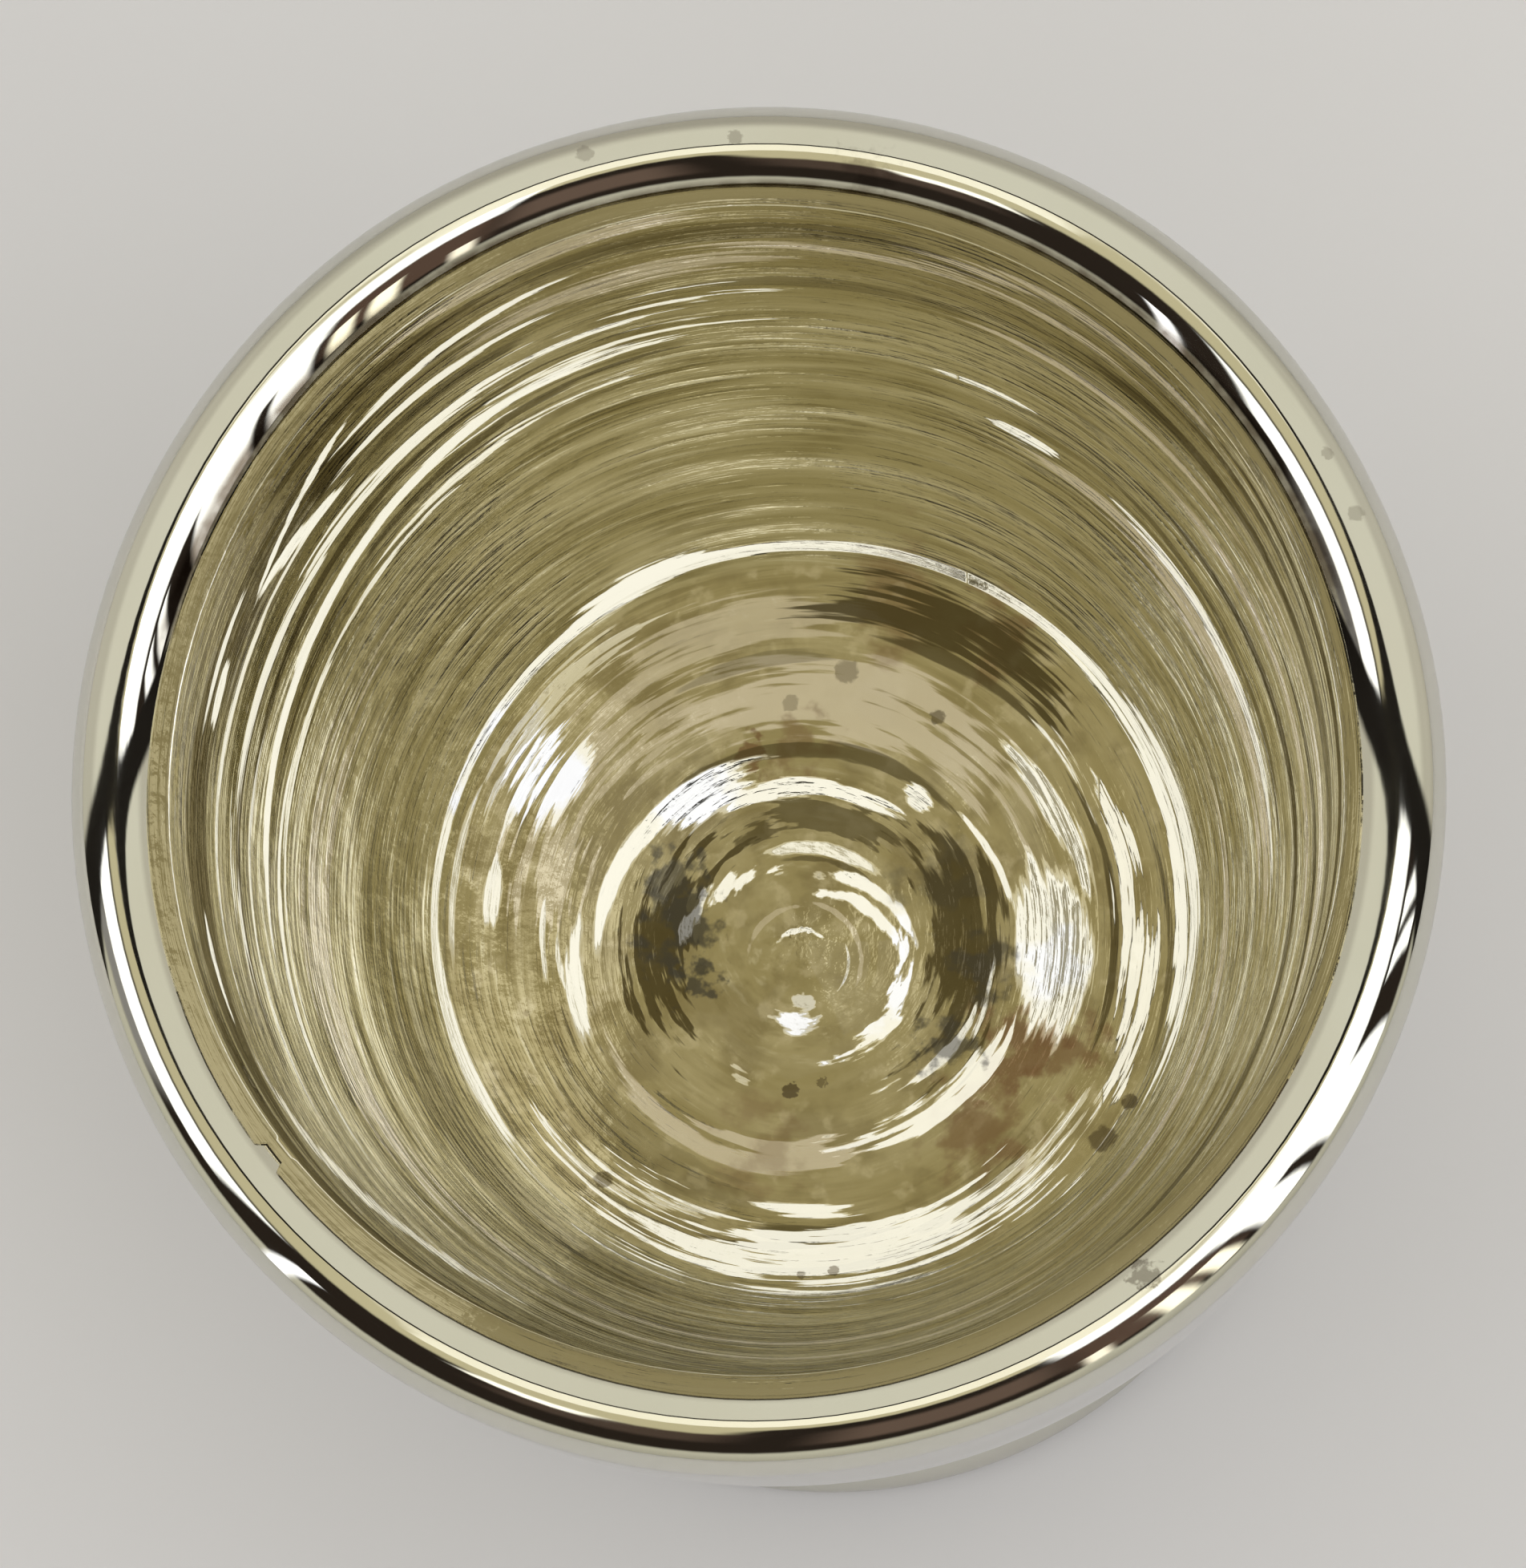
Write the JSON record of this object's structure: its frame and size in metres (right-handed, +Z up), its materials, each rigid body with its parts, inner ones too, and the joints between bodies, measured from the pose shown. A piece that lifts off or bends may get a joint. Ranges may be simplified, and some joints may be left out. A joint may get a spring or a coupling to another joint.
{
  "type": "egg cup",
  "caption": "Footed egg cup of silvered double-walled blown glass, with a gold-stained mirrored bowl, a round folded rim, a waisted stem and a domed foot.",
  "frame": {"origin": "centre of the foot, on the table", "axes": "+Z up, along the axis of the bowl, stem and foot; the part is round, so X and Y are free"},
  "size_m": [0.056, 0.056, 0.079],
  "materials": {
    "clear_glass": "clear blown glass, polished, with shallow tool ripples and a few seeds",
    "old_silver": "silver film seen through glass, mirror bright, with dark age spots",
    "gold_stain": "olive gold stain over the silvering, mirror bright, glossy, with dark age spots",
    "cork": "dry cork, matt and pitted",
    "plaster": "aged plaster, matt and slightly chalky"
  },
  "bodies": {
    "root": {"glass_body": "clear_glass", "silver_lining": "old_silver", "gold_stain": "gold_stain", "cork_plug": "cork", "plaster_seal": "plaster"}
  },
  "joints": []
}
